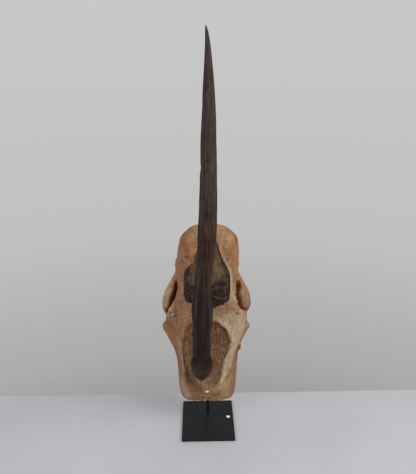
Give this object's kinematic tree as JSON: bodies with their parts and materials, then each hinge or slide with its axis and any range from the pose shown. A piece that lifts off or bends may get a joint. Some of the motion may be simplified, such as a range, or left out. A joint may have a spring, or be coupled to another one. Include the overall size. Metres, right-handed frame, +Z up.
{
  "type": "woolly rhinoceros skull on stand",
  "caption": "Skull of a woolly rhinoceros with a long curved nose horn and a short forehead horn, standing nose down on a steel rod and square plate.",
  "frame": {"origin": "centre of the base plate's underside", "axes": "+Z up along the upright skull, from its nose to its occiput; -Y the way the forehead and the horns face; +Y the side of the palate and the teeth; +X the viewer's right when the horns face the viewer"},
  "size_m": [0.3347, 0.6281, 1.536],
  "materials": {
    "stand_paint": "satin",
    "label_card": "matte",
    "bone": "matte",
    "front_horn": "satin",
    "rear_horn": "matte",
    "tooth": "satin"
  },
  "bodies": {
    "root": {"base_plate": "stand_paint", "rod": "stand_paint", "label": "label_card", "skull": "bone", "front_horn": "front_horn", "rear_horn": "rear_horn", "tooth_left_P2": "tooth", "tooth_left_P3": "tooth", "tooth_left_P4": "tooth", "tooth_left_M1": "tooth", "tooth_left_M2": "tooth", "tooth_left_M3": "tooth", "tooth_right_P2": "tooth", "tooth_right_P3": "tooth", "tooth_right_P4": "tooth", "tooth_right_M1": "tooth", "tooth_right_M2": "tooth", "tooth_right_M3": "tooth"}
  },
  "joints": []
}
